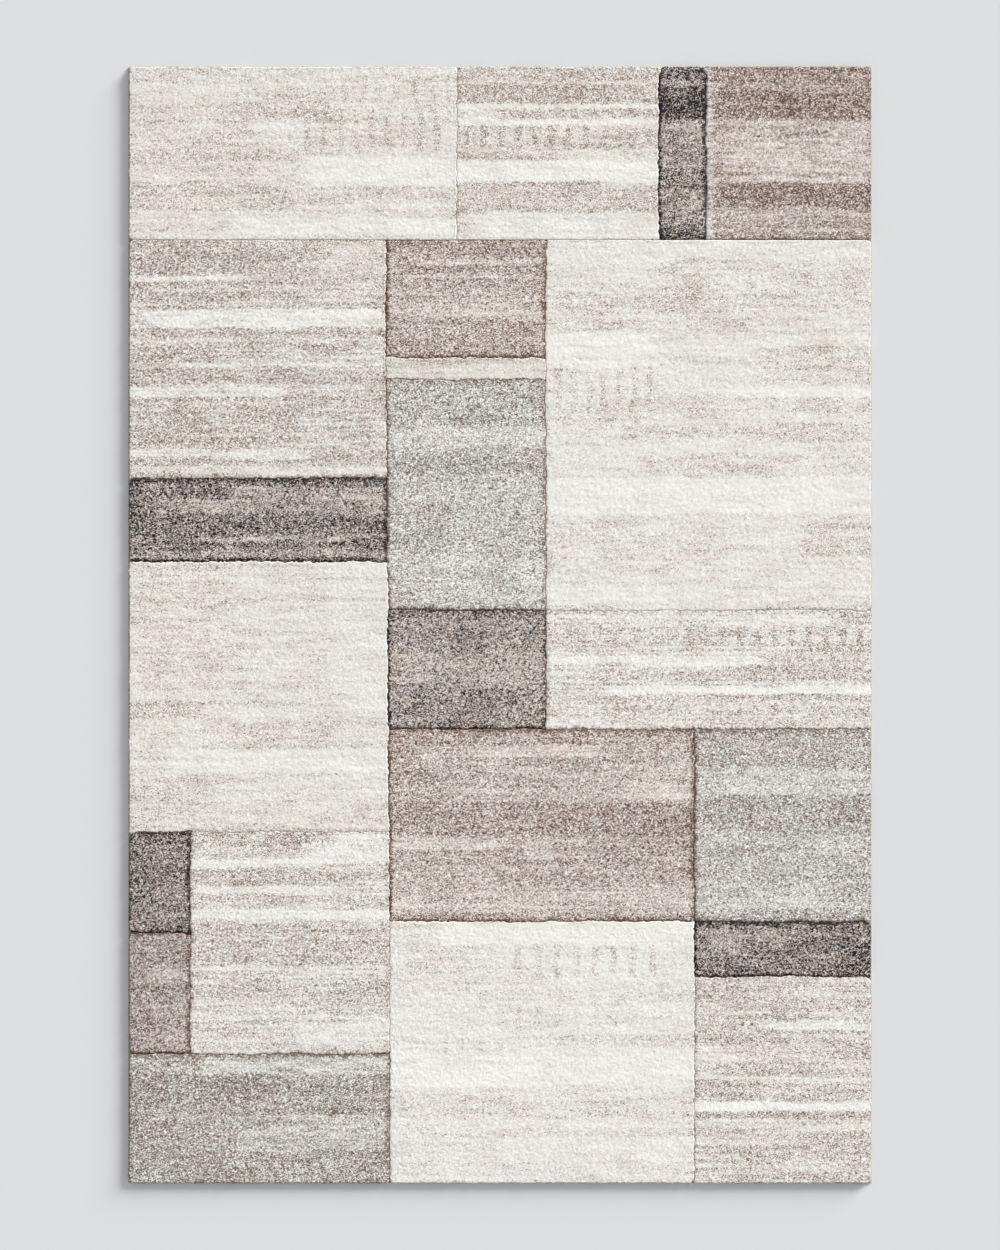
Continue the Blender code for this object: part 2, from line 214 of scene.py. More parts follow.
# Rows of darker and lighter yarn in each block, in hundredths: how far down the block each one's middle
# lies, how thick it is, from where to where it runs, all as shares of the block, and how much darker or
# lighter it is.
ROWS = {
    "cream_end_left": [
        (4, 9, 0, 52, -6), (12, 6, 0, 40, 5), (22, 15, 33, 61, -10), (27, 6, 49, 66, -12),
        (39, 18, 0, 37, -6), (54, 13, 0, 52, -7), (60, 17, 55, 100, 16), (76, 15, 0, 48, -14),
        (73, 8, 48, 100, -4), (92, 10, 33, 100, 16),
    ],
    "cream_end_middle": [
        (4, 8, 0, 100, -20), (15, 11, 0, 76, -42), (15, 11, 72, 100, -24), (22, 3, 0, 100, 18),
        (27, 6, 22, 100, -20), (31, 4, 0, 100, 20), (40, 15, 0, 100, -6), (51, 4, 0, 50, -12),
        (60, 13, 0, 100, 22), (68, 3, 0, 70, -26), (77, 14, 0, 100, -13), (92, 14, 12, 100, 14),
    ],
    "charcoal_end": [
        (4, 6, 0, 100, -18), (20, 18, 0, 100, -42), (24, 10, 0, 100, -18), (46, 28, 0, 100, 14),
        (63, 7, 0, 100, -6), (80, 18, 0, 100, 12), (96, 8, 0, 100, -22),
    ],
    "taupe_end_right": [
        (50, 100, 0, 5, 22), (4, 9, 0, 100, -12), (16, 6, 6, 52, -34), (18, 6, 45, 100, -34),
        (25, 6, 6, 52, -26), (26, 8, 45, 100, -34), (49, 37, 9, 100, 14), (38, 2, 45, 76, -20),
        (74, 13, 6, 100, -30), (88, 14, 9, 100, 8),
    ],
    "beige_upper_left": [
        (5, 9, 0, 77, -14), (11, 8, 2, 25, -20), (10, 10, 23, 56, -12), (15, 21, 66, 100, 6),
        (16, 2, 0, 46, 26), (19, 3, 0, 23, -26), (23, 3, 0, 23, -24), (22, 7, 27, 50, -12),
        (27, 5, 7, 39, -14), (33, 8, 7, 100, 28), (39, 4, 0, 100, -12), (48, 7, 0, 33, -22),
        (45, 4, 66, 85, -18), (52, 2, 19, 100, 22), (57, 7, 0, 66, -10), (64, 4, 0, 60, 20),
        (67, 2, 0, 100, -18), (73, 9, 13, 27, -16), (74, 6, 39, 60, -14), (83, 8, 0, 62, -12),
        (90, 4, 0, 70, 18), (93, 4, 0, 35, -14), (97, 4, 19, 100, 12),
    ],
    "charcoal_left": [
        (48, 44, 0, 8, -22), (11, 21, 0, 33, -16), (5, 10, 33, 100, -12), (25, 31, 39, 100, 12),
        (35, 17, 7, 39, 14), (57, 27, 7, 50, -14), (57, 19, 39, 100, -10), (72, 6, 27, 81, 16),
        (80, 11, 4, 33, -20), (79, 8, 43, 66, -10), (78, 8, 74, 95, -20), (90, 8, 7, 100, 8),
    ],
    "cream_middle_left": [
        (14, 29, 0, 39, -6), (38, 19, 0, 47, -5), (35, 70, 78, 100, 6), (55, 6, 0, 27, -14),
        (63, 13, 27, 100, -5), (74, 8, 15, 100, 12), (90, 21, 0, 27, -7), (93, 14, 27, 100, -4),
    ],
    "charcoal_small": [
        (7, 10, 0, 100, -16), (20, 16, 0, 30, -14), (26, 27, 32, 95, 16), (46, 12, 0, 50, -22),
        (62, 21, 50, 100, 8), (65, 15, 0, 50, -12), (82, 14, 32, 100, 18), (95, 9, 0, 100, -16),
    ],
    "mauve_small": [
        (6, 10, 15, 100, 6), (21, 13, 0, 80, -6), (33, 12, 32, 100, 14), (49, 13, 15, 66, -14),
        (64, 10, 32, 100, 12), (77, 10, 0, 50, -12), (87, 13, 50, 100, 10),
    ],
    "beige_lower_left": [
        (4, 7, 0, 30, -22), (3, 4, 38, 73, -32), (7, 5, 30, 71, -14), (7, 12, 60, 100, 16),
        (14, 4, 0, 70, 16), (20, 8, 0, 73, -16), (20, 7, 73, 100, -6), (27, 4, 5, 70, 6),
        (31, 4, 0, 100, -8), (37, 5, 0, 100, 20), (51, 20, 0, 100, -14), (57, 6, 55, 86, -14),
        (61, 2, 0, 100, 20), (65, 1, 10, 100, 26), (69, 7, 33, 45, -22), (69, 7, 73, 100, -20),
        (75, 7, 38, 48, -14), (72, 8, 0, 30, -8), (80, 3, 0, 25, -10), (90, 15, 55, 100, 10),
    ],
    "silver_bottom_left": [
        (9, 14, 27, 100, 12), (26, 20, 0, 50, -14), (23, 13, 35, 54, -12), (27, 6, 50, 100, -10),
        (45, 5, 46, 100, -16), (60, 30, 42, 100, 8), (59, 16, 0, 19, -10), (88, 24, 0, 100, -4),
    ],
    "taupe_upper": [
        (7, 13, 0, 100, -18), (8, 5, 39, 84, -10), (18, 4, 20, 100, 16), (24, 6, 20, 100, -18),
        (31, 4, 0, 100, 12), (36, 5, 0, 100, -12), (61, 14, 0, 100, 16), (79, 22, 0, 100, -7),
        (97, 7, 0, 100, -24),
    ],
    "cream_strip": [(19, 28, 0, 39, -10), (64, 60, 39, 100, 8)],
    "silver_middle": [
        (10, 19, 0, 100, -10), (11, 6, 5, 39, -8), (16, 4, 39, 100, -10), (25, 9, 0, 100, 14),
        (37, 8, 27, 100, -18), (37, 8, 5, 27, -12), (47, 10, 0, 100, 5), (64, 21, 3, 39, -16),
        (61, 9, 39, 100, -8), (87, 21, 0, 100, 8),
    ],
    "charcoal_middle": [
        (5, 7, 0, 100, -8), (23, 22, 42, 65, -20), (25, 15, 5, 23, -12), (23, 15, 80, 97, -16),
        (49, 27, 0, 100, 22), (76, 25, 11, 24, -24), (74, 13, 33, 84, -16), (81, 10, 65, 90, 10),
        (90, 18, 0, 100, -12),
    ],
    "cream_right": [
        (3, 4, 17, 100, 5), (13, 14, 35, 100, -8), (5, 2, 38, 60, -8), (16, 7, 0, 48, -7),
        (23, 3, 0, 66, -8), (30, 9, 0, 35, 14), (34, 10, 65, 100, -10), (41, 3, 57, 100, 14),
        (45, 6, 29, 100, -6), (49, 10, 0, 29, -6), (52, 5, 23, 100, -9), (61, 6, 32, 100, -7),
        (69, 10, 0, 100, 13), (83, 14, 0, 54, -7), (81, 10, 79, 100, -10), (96, 4, 0, 54, 10),
        (99, 1, 0, 23, -14),
    ],
    "beige_right": [
        (7, 10, 48, 88, 10), (5, 11, 88, 100, -16), (22, 23, 0, 35, -3), (43, 7, 0, 66, 16),
        (30, 10, 79, 100, -16), (41, 6, 66, 100, -10), (53, 14, 60, 100, -18), (55, 12, 10, 60, -10),
        (67, 6, 17, 100, 30), (74, 6, 10, 100, -18), (87, 16, 20, 100, -6), (93, 9, 0, 20, 10),
    ],
    "taupe_lower": [
        (4, 7, 0, 100, -12), (11, 6, 27, 69, 14), (13, 6, 1, 10, -14), (16, 4, 56, 82, -12),
        (21, 6, 69, 100, 8), (29, 16, 1, 17, -12), (32, 9, 79, 100, 16), (28, 7, 37, 56, -10),
        (47, 17, 0, 100, -24), (42, 2, 56, 100, -14), (51, 6, 50, 100, -12), (60, 6, 0, 37, 16),
        (68, 20, 69, 100, -8), (69, 3, 17, 82, -18), (65, 5, 30, 43, -12), (65, 4, 43, 69, 10),
        (77, 9, 0, 37, 8), (84, 15, 12, 24, -10), (77, 8, 46, 66, -12), (89, 16, 0, 100, 8),
        (93, 8, 56, 76, -8), (98, 4, 0, 100, -16),
    ],
    "silver_right": [
        (2, 4, 26, 100, -22), (7, 6, 0, 100, -6), (16, 9, 0, 100, -10), (27, 14, 0, 100, 14),
        (43, 18, 0, 100, -20), (37, 3, 3, 26, -12), (41, 4, 60, 100, -20), (46, 7, 78, 100, -10),
        (64, 20, 0, 100, 6), (63, 4, 83, 100, -8), (86, 16, 0, 78, 14), (96, 6, 26, 100, -14),
    ],
    "cream_bottom": [
        (5, 8, 17, 100, 12), (2, 3, 2, 17, -5), (14, 11, 6, 37, -8), (18, 5, 7, 17, -10),
        (24, 12, 0, 56, -5), (29, 5, 56, 100, -8), (37, 6, 37, 100, -4), (45, 5, 56, 100, -8),
        (56, 14, 0, 100, 12), (70, 11, 0, 100, -8), (70, 7, 20, 43, -6), (71, 8, 61, 76, -8),
        (81, 3, 0, 100, -8), (88, 8, 37, 100, 4), (96, 8, 0, 100, -6),
    ],
    "charcoal_right": [
        (7, 15, 0, 100, -10), (28, 27, 6, 49, 12), (33, 36, 81, 95, -16), (44, 29, 29, 100, -14),
        (61, 38, 3, 32, 12), (65, 45, 89, 100, -22), (78, 25, 0, 100, -10),
    ],
    "beige_bottom_right": [
        (7, 9, 3, 60, -8), (13, 7, 26, 100, -6), (18, 6, 43, 69, -18), (21, 6, 3, 55, -12),
        (24, 4, 43, 100, 20), (29, 7, 3, 55, -16), (27, 3, 60, 100, -10), (37, 9, 3, 26, 16),
        (36, 9, 83, 100, -14), (45, 7, 15, 78, -14), (49, 2, 0, 60, 10), (55, 10, 0, 38, -12),
        (57, 9, 49, 100, -14), (63, 5, 0, 100, 34), (67, 4, 0, 100, -22), (72, 4, 3, 100, 8),
        (82, 15, 66, 100, -14), (87, 8, 15, 66, -14), (93, 3, 26, 100, 6), (96, 4, 26, 100, -8),
    ],
}
# Rows of short upright dashes: the same numbers, not in hundredths, with the spacing of the dashes in
# metres before the last of them.
DASHES = {
    "cream_end_left": [(0.12, 0.14, 0.61, 0.98, 0.046, -0.10), (0.36, 0.25, 0.52, 0.98, 0.043, -0.12)],
    "cream_end_middle": [
        (0.40, 0.13, 0.03, 0.71, 0.046, -0.30), (0.40, 0.09, 0.71, 1.00, 0.040, -0.22),
        (0.20, 0.18, 0.22, 0.90, 0.051, -0.12),
    ],
    "silver_middle": [(0.37, 0.07, 0.08, 1.00, 0.043, -0.10)],
    "charcoal_middle": [(0.23, 0.22, 0.33, 1.00, 0.040, -0.08)],
    "cream_right": [(0.20, 0.09, 0.04, 0.66, 0.046, -0.04), (0.40, 0.13, 0.01, 0.34, 0.040, -0.12)],
    "beige_right": [
        (0.23, 0.18, 0.02, 0.30, 0.046, -0.10), (0.22, 0.16, 0.43, 1.00, 0.046, -0.30),
        (0.56, 0.22, 0.60, 0.97, 0.046, -0.10), (0.83, 0.09, 0.17, 0.79, 0.046, -0.12),
    ],
    "cream_bottom": [
        (0.15, 0.13, 0.37, 0.89, 0.051, -0.16), (0.37, 0.10, 0.37, 0.82, 0.051, -0.07),
        (0.49, 0.09, 0.17, 0.82, 0.051, -0.07),
    ],
}
DASH_WIDE = 0.017
DASH_FADE = 0.007  # how softly a dash starts and ends
DASH_ROW_FADE = 0.010  # and a row of them
ROW_LOOSE = 0.0032  # how far single tufts of a row stray from it
ROW_FADE = 0.0026  # how softly a row of yarn starts and ends across its thickness
ROW_END_FADE = 0.042  # and along its length
ROW_RIPPLE = 0.0048  # how far the rows wander up and down
ROW_RAGGED = 0.020  # how far the ends of a row's yarns stray from each other


# ---- numbers ----
def smoothstep(t):
    t = np.clip(t, 0, 1)
    return t * t * (3 - 2 * t)


def cloud(x, y, wide, tall, seed):
    """Smooth noise from -1 to 1, in patches of about wide by tall metres."""
    u = (x + 2.0) / wide
    v = (y + 2.0) / tall
    i = np.floor(u).astype(int)
    j = np.floor(v).astype(int)
    knots = np.random.default_rng(seed).random((int(4.0 / tall) + 3, int(4.0 / wide) + 3)) * 2 - 1
    fu = smoothstep(u - i)
    fv = smoothstep(v - j)
    low = knots[j, i] * (1 - fu) + knots[j, i + 1] * fu
    high = knots[j + 1, i] * (1 - fu) + knots[j + 1, i + 1] * fu
    return low * (1 - fv) + high * fv


def ripple(along, length, seed):
    """Smooth noise from -1 to 1 along a line."""
    return cloud(along, along * 0, length, 1.0, seed)


def linear(srgb, gain=1.0):
    """One linear RGBA colour from 0-255 sRGB."""
    levels = [(c / 255 / 12.92) if c <= 10 else ((c / 255 + 0.055) / 1.055) ** 2.4 for c in srgb]
    return (*[level * gain for level in levels], 1.0)


# ---- meshes ----
def new_piece(name, points, quads, polygons=(), attributes=None):
    """A mesh object from arrays, with each point's place at rest."""
    mesh = bpy.data.meshes.new(name)
    loops = [quads.ravel()] + [np.asarray(p) for p in polygons]
    sizes = np.array([4] * len(quads) + [len(p) for p in polygons])
    mesh.vertices.add(len(points))
    mesh.vertices.foreach_set("co", np.ascontiguousarray(points, np.float32).ravel())
    mesh.loops.add(int(sizes.sum()))
    mesh.loops.foreach_set("vertex_index", np.concatenate(loops).astype(np.int32))
    mesh.polygons.add(len(sizes))
    mesh.polygons.foreach_set("loop_start", np.concatenate([[0], np.cumsum(sizes)[:-1]]).astype(np.int32))
    mesh.update(calc_edges=True)
    mesh.shade_smooth()
    place = mesh.attributes.new("place", "FLOAT_VECTOR", "POINT")
    place.data.foreach_set("vector", np.ascontiguousarray(points, np.float32).ravel())
    for key, values in (attributes or {}).items():
        attribute = mesh.attributes.new(key, "FLOAT", "POINT")
        attribute.data.foreach_set("value", values.astype(np.float32).ravel())
    piece = bpy.data.objects.new(name, mesh)
    bpy.context.scene.collection.objects.link(piece)
    return piece


def map_from_above(piece, plain_faces=0):
    """The bake's map, looking down. The last plain_faces faces lie underneath, and take one corner of it."""
    mesh = piece.data
    corners = np.empty(len(mesh.loops), np.int32)
    mesh.loops.foreach_get("vertex_index", corners)
    co = np.empty(len(mesh.vertices) * 3, np.float32)
    mesh.vertices.foreach_get("co", co)
    flat = co.reshape(-1, 3)[:, :2]
    low = flat.min(0)
    uv = ((flat - low) / (flat.max(0) - low))[corners] * 0.99 + 0.005
    if plain_faces:
        first = mesh.polygons[len(mesh.polygons) - plain_faces].loop_start
        uv[first:] = (0.001, 0.001)
    layer = mesh.uv_layers.new(name="OFBake")
    layer.data.foreach_set("uv", uv.astype(np.float32).ravel())


def grid_quads(rows, columns):
    """The faces of a grid of points, numbered row by row, facing up."""
    number = np.arange(rows * columns).reshape(rows, columns)
    return np.stack([number[:-1, :-1], number[:-1, 1:], number[1:, 1:], number[1:, :-1]], -1).reshape(-1, 4)


def outline(rows, columns):
    """The numbers of a grid's outer points, counter-clockwise seen from above."""
    number = np.arange(rows * columns).reshape(rows, columns)
    return np.concatenate([number[0, :-1], number[:-1, -1], number[-1, :0:-1], number[:0:-1, 0]])


def joined(parts):
    """One mesh's arrays from several: each is (points, quads, attributes)."""
    shift = np.cumsum([0] + [len(p[0]) for p in parts[:-1]])
    points = np.concatenate([p[0] for p in parts])
    quads = np.concatenate([p[1] + s for p, s in zip(parts, shift)])
    values = {key: np.concatenate([p[2][key] for p in parts]) for key in parts[0][2]}
    return points, quads, values


def tubes(starts, run, aside, up, radius, shape, sides):
    """A small closed tube along each run: the points, the faces, and how many points each tube has.

    shape gives the rings of a tube, as shares of its run and of its radius.
    """
    rings = []
    for share, size in shape:
        for side in range(sides):
            turn = 2 * math.pi * side / sides
            around = math.cos(turn) * aside + math.sin(turn) * up
            rings.append(starts + run * share + around * (radius * size)[:, None])
    each = len(rings)
    last = each - sides
    one = []
    for ring in range(0, last, sides):
        for side in range(sides):
            here = ring + side
            beside = ring + (side + 1) % sides
            one.append((here, beside, beside + sides, here + sides))
    fans = [(0, side, side + 1, side + 2) for side in range(1, sides - 1, 2)]
    one += [fan[::-1] for fan in fans]
    one += [tuple(last + corner for corner in fan) for fan in fans]
    quads = np.array(one)[None] + np.arange(len(starts))[:, None, None] * each
    return np.stack(rings, 1).reshape(-1, 3), quads.reshape(-1, 4), each


# ---- the carved pile ----
def same_line(line, other):
    return abs(line - other) < LINE_NEAR


class Block:
    """One block of pile: its yarn, its grid of points, and how far in they lie from its four sides.

    The sides are in the order left, right, lower, upper.
    """

    def __init__(self, node, seed):
        self.name = node.removeprefix("pile_")
        self.yarn = YARNS[self.name.split("_")[0]]
        self.seed = seed
        self.rng = np.random.default_rng(seed)
        low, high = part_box(node)
        self.low = low
        self.high = high
        self.wide = high.x - low.x
        self.tall = high.y - low.y
        step = max(FINEST_STEP, math.sqrt(self.wide * self.tall / MOST_CELLS))
        self.xs = self.places_across(low.x, high.x, step)
        self.ys = self.places_across(low.y, high.y, step)
        x, y = np.meshgrid(self.xs, self.ys)
        self.x = x
        self.y = y
        self.reach = (x - low.x, high.x - x, y - low.y, high.y - y)
        self.across = (x - low.x) / self.wide
        self.down = (high.y - y) / self.tall
        self.outer = (
            low.x < CAD_BOX[0].x + EDGE_NEAR,
            high.x > CAD_BOX[1].x - EDGE_NEAR,
            low.y < CAD_BOX[0].y + EDGE_NEAR,
            high.y > CAD_BOX[1].y - EDGE_NEAR,
        )
        half = CHANNEL_HALF_FOOT
        self.lines = (low.x - half, high.x + half, low.y - half, high.y + half)

    @staticmethod
    def places_across(low, high, step):
        rim = np.array(RIM_PLACES)
        count = max(2, round((high - low - 2 * RIM_END) / step))
        inner = np.linspace(low + RIM_END, high - RIM_END, count + 1)
        return np.concatenate([low + rim, inner, high - rim[::-1]])

    def cloud(self, wide, tall, number):
        return cloud(self.x, self.y, wide, tall, self.seed + number)

    def along(self, side):
        """Each point's place along a side."""
        return self.y if side < 2 else self.x

    def near(self, side, far):
        """From 1 at a side down to nothing further in than about twice as far."""
        return np.exp(-((self.reach[side] / far) ** 2))


def line_wander(line, along, limit):
    """How far a carved channel strays from its straight line, at each place along it."""
    size = FOLD_WAVE if same_line(line, FOLD_Y) else WAVE
    seed = int(round((line + 3) * 1000))
    stray = size * sum(
        share * ripple(along, length, seed + number)
        for number, (share, length) in enumerate(((0.45, 0.090), (0.35, 0.020), (0.45, 0.0055)))
    )
    for bent, bends in END_BENDS.items():
        for end, bend in zip((-1, 1), bends):
            if same_line(line, bent):
                stray = stray + bend * smoothstep((end * along - limit + END_BEND_REACH) / END_BEND_REACH)
    for leaning, lean in LEAN_OF_LINE.items():
        if same_line(line, leaning):
            stray = stray + lean * along
    return stray


def yarn_rows(block):
    """How much darker or lighter the woven rows make each point of a block."""
    name = block.name
    wander = ROW_RIPPLE * (0.7 * block.cloud(0.090, 0.040, 11) + 0.5 * block.cloud(0.020, 0.012, 10))
    wander = wander / block.tall
    fleck = 0.5 + 0.5 * block.cloud(0.034, 0.0060, 12)
    broken = 0.25 + 1.0 * fleck + 0.25 * (1 + block.cloud(0.011, 0.0045, 16))
    ragged = ROW_RAGGED * block.cloud(0.020, 0.0060, 13) / block.wide
    tone = np.zeros_like(block.x)
    loose = np.random.default_rng(block.seed + 15).uniform(-ROW_LOOSE, ROW_LOOSE, block.x.shape)
    level = block.down + wander + loose / block.tall
    for row in ROWS[name]:
        middle, thick, start, end, lighter = (number / 100 for number in row)
        inside = smoothstep((thick / 2 - np.abs(level - middle)) * block.tall / ROW_FADE + 0.5)
        fade = ROW_END_FADE / block.wide
        from_left = 1 if start <= 0.02 else smoothstep((block.across + ragged - start) / fade + 0.5)
        to_right = 1 if end >= 0.98 else smoothstep((end - block.across - ragged) / fade + 0.5)
        tone += lighter * inside * from_left * to_right * broken
    level = block.down + 1.6 * wander
    for middle, thick, start, end, pitch, lighter in DASHES.get(name, ()):
        inside = smoothstep((thick / 2 - np.abs(level - middle)) * block.tall / (2 * ROW_FADE) + 0.5)
        phase = (block.x + 0.006 * block.cloud(0.060, 0.030, 14)) / pitch
        dash = smoothstep((DASH_WIDE / 2 - np.abs(phase - np.round(phase)) * pitch) / DASH_FADE + 0.5)
        from_left = smoothstep((block.across - start) * block.wide / DASH_ROW_FADE)
        to_right = smoothstep((end - block.across) * block.wide / DASH_ROW_FADE)
        tone += lighter * inside * dash * from_left * to_right * (0.5 + fleck)
    return block.yarn["rows"] * ROW_STRENGTHS.get(name, 1.0) * tone


def carved_sides(block):
    """How far up its carved shoulder each point lies, from 0 to 1, and how strong the darker rim of painted
    shade is there.
    """
    up = np.ones_like(block.x)
    rim = np.zeros_like(block.x)
    for side, line in enumerate(block.lines):
        if block.name == UNCARVED_RIGHT and side == 1:
            continue
        along = block.along(side)
        reach = block.reach[side]
        ragged = 1 + 0.40 * ripple(along, 0.0090, block.seed * 7 + side) + 0.2 * block.cloud(0.004, 0.004, 3)
        shoulder = (OUTER_SHOULDER if block.outer[side] else block.yarn["shoulder"]) * ragged
        up = np.minimum(up, reach / shoulder)
        if block.outer[side]:
            # along the rug's outer sides the rim is painted shade too
            rim = np.maximum(rim, 0.5 * np.exp(-reach / OUTER_RIM_FADE))
        else:
            speckle = 1 + 0.8 * block.cloud(0.0060, 0.0045, 4) + 0.3 * ripple(along, 0.040, block.seed + side)
            share = RIM_AT_FOLD if same_line(line, FOLD_Y) else 1.0
            fading = np.exp(-np.maximum(reach - RIM_WIDE * ragged, 0) / RIM_FADE)
            rim = np.maximum(rim, share * speckle * fading)
    corner_x = np.minimum(block.reach[0], block.reach[1])
    corner_y = np.minimum(block.reach[2], block.reach[3])
    in_corner = (corner_x < CORNER_R) & (corner_y < CORNER_R)
    from_corner = CORNER_R - np.hypot(CORNER_R - corner_x, CORNER_R - corner_y)
    rounded = np.minimum(up, np.maximum(from_corner, 0) / block.yarn["shoulder"])
    up = np.clip(np.where(in_corner, rounded, up), 0, 1)
    return np.sqrt(up * (2 - up)), rim


def pile_heights(block, up):
    """Each point's height, and its share of light from 0 to 1: a painted shade, darker low on a carved
    shoulder and on the outer lip of the sunny sides.
    """
    crown = block.high.z - CROWN_BELOW_BOX
    carved = np.full_like(block.x, block.yarn["carved"])
    for side in range(4):
        if block.outer[side]:
            carved = np.where(block.reach[side] < CORNER_R, 1.0, carved)
    foot = crown - carved * (crown - block.low.z - FOOT_ABOVE_WEAVE)
    lift = TUFT_RISE * block.rng.standard_normal(block.x.shape)
    lift += CLUMP_RISE * block.cloud(0.0075, 0.0065, 1)
    lift += SWELL_RISE * block.cloud(0.050, 0.028, 2)
    z = foot + (crown - foot) * up + lift * up
    # painted shade: the yarn darkens towards the foot of its carved shoulder
    depth = (1 - carved) + carved * up
    for side in range(4):
        if block.outer[side]:
            z = z - DROOP * up * block.near(side, DROOP_REACH)
            # painted shade on the outer lip of the sides that face the light
            if side in SUNNY_SIDES:
                depth = depth * (1 - SUN_SIDE_SHADE * block.near(side, SUN_SIDE_REACH))
    return z, depth


def hand_carved(block, up):
    """Each point's x and y: sides that wander and lean out, and random places for the tufts between them."""
    shift = np.zeros((2, *block.x.shape))
    for side, line in enumerate(block.lines):
        outward = -1 if side in (0, 2) else 1
        if block.outer[side]:
            over = OVERHANG_SIDE if side < 2 else OVERHANG_END
            over = over * block.near(side, OVERHANG_REACH) * up
            shift[side // 2] += outward * over * (1 + 0.10 * block.cloud(0.006, 0.006, 5))
        else:
            wander = line_wander(round(line, 3), block.along(side), CAD_BOX[1][1 - side // 2])
            closed = CLOSED_FOLD if same_line(line, FOLD_Y) else CLOSED_FOOT
            closing = outward * closed * block.near(side, CLOSING_REACH)
            shift[side // 2] += block.near(side, WAVE_REACH) * wander + closing
    loose = TUFT_LOOSE * (np.min(block.reach, axis=0) > 0)
    rng = block.rng
    x = block.x + shift[0] + loose * np.gradient(block.xs)[None, :] * rng.uniform(-1, 1, block.x.shape)
    y = block.y + shift[1] + loose * np.gradient(block.ys)[:, None] * rng.uniform(-1, 1, block.x.shape)
    return x, y


def yarn_values(block, rim, depth):
    """What the pile's material reads at each point."""
    yarn = block.yarn
    strip, coolness = COOL_STRIPS.get(block.name, (0.0, 0.0))
    rim = yarn["rim"] * rim * (block.across >= strip)
    rows = yarn_rows(block)
    rows += yarn["lines"] * block.cloud(0.320, 0.0042, 26)
    rows += 0.5 * yarn["lines"] * block.cloud(0.090, 0.0036, 27)
    tone = 0.5 + SHADES.get(block.name, 0.0) + np.where(rows < 0, yarn["smooth"], 1.0) * rows
    for share, wide, tall, number in STREAKS:
        tone += yarn["streak"] * share * block.cloud(wide, tall, number)
    tone += 0.05 * block.rng.standard_normal(block.x.shape)
    # painted shade: the rim darkens the yarn beside each carved channel and along the outer sides
    tone -= rim
    tint = 0.6 * block.cloud(0.090, 0.030, 24) + 0.4 * block.cloud(0.012, 0.006, 25)
    tint += coolness * (block.across < strip) + RIM_WARMTH * rim
    mixing = 1 - yarn["specks"] * (rows + block.rng.uniform(-0.1, 0.1, block.x.shape))
    values = {"tone": tone, "tint": tint, "depth": depth, "mixing": np.clip(mixing, 0.50, 3.0)}
    return {key: value.ravel() for key, value in values.items()}


def yarn_ends(block, points, values):
    """Single cut ends of yarn that lean out of the pile along its outer sides, as a tube each."""
    number = np.arange(block.x.size).reshape(block.x.shape)
    rng = np.random.default_rng(block.seed + 60)
    sides = (
        (number[:, 1], (-1, 0)),
        (number[:, -2], (1, 0)),
        (number[1], (0, -1)),
        (number[-2], (0, 1)),
    )
    parts = []
    for side, (lip, away) in enumerate(sides):
        if not block.outer[side]:
            continue
        away = np.array(away)
        lip = lip[3:-3]
        count = len(lip)
        for layer in range(END_LAYERS):
            root = points[lip].copy()
            root[:, :2] += rng.uniform(-0.0014, 0.0014, (count, 2))
            root[:, :2] -= away * END_ROOT_IN
            root[:, 2] -= rng.uniform(0.0004, 0.0050, count)
            aim = np.empty((count, 3))
            aim[:, :2] = away * rng.uniform(0.25, 0.75, count)[:, None]
            aim[:, :2] += rng.uniform(-0.55, 0.55, (count, 2)) * (1 - np.abs(away))
            aim[:, 2] = rng.uniform(-0.1, 0.9, count)
            aim /= np.linalg.norm(aim, axis=1)[:, None]
            length = rng.uniform(0.0022, 0.0042, count)
            radius = rng.uniform(0.0006, 0.0010, count)
            aside = np.cross(aim, (0.0, 0.0, 1.0))
            aside /= np.maximum(np.linalg.norm(aside, axis=1), 1e-6)[:, None]
            other = np.cross(aim, aside)
            tube, quads, each = tubes(root, aim * length[:, None], aside, other, radius, YARN_END_SHAPE, 4)
            near = {key: np.repeat(value[lip], each) for key, value in values.items()}
            near["tone"] = near["tone"] + np.repeat(0.22 * rng.standard_normal(count), each)
            # painted shade: the single yarn ends on the sunny sides are darker
            shaded = SUN_SIDE_SHADE if side in SUNNY_SIDES else 0.0
            near["depth"] = np.repeat(rng.uniform(0.75, 1.0, count) * (1 - shaded), each)
            parts.append((tube, quads, near))
    return parts


def pile_piece(node, seed):
    """One block as a closed piece: its surface, its walls, its flat underside and its single yarn ends."""
    block = Block(node, seed)
    up, rim = carved_sides(block)
    z, depth = pile_heights(block, up)
    x, y = hand_carved(block, up)
    points = np.stack([x, y, z], -1).reshape(-1, 3)
    values = yarn_values(block, rim, depth)
    ring = outline(*block.x.shape)
    under = points[ring].copy()
    under[:, 2] = block.low.z
    base = len(points) + np.arange(len(ring))
    walls = np.stack([np.roll(base, -1), np.roll(ring, -1), ring, base], -1)
    quads = np.concatenate([grid_quads(*block.x.shape), walls])
    ends = yarn_ends(block, points, values)
    values = {key: np.concatenate([value, value[ring]]) for key, value in values.items()}
    # painted shade: the walls darken down to their foot
    values["depth"][base] = 0.0
    points, quads, values = joined([(np.concatenate([points, under]), quads, values), *ends])
    piece = new_piece("yarn_" + block.name, points, quads, [base[::-1]], values)
    map_from_above(piece, plain_faces=1)
    return piece


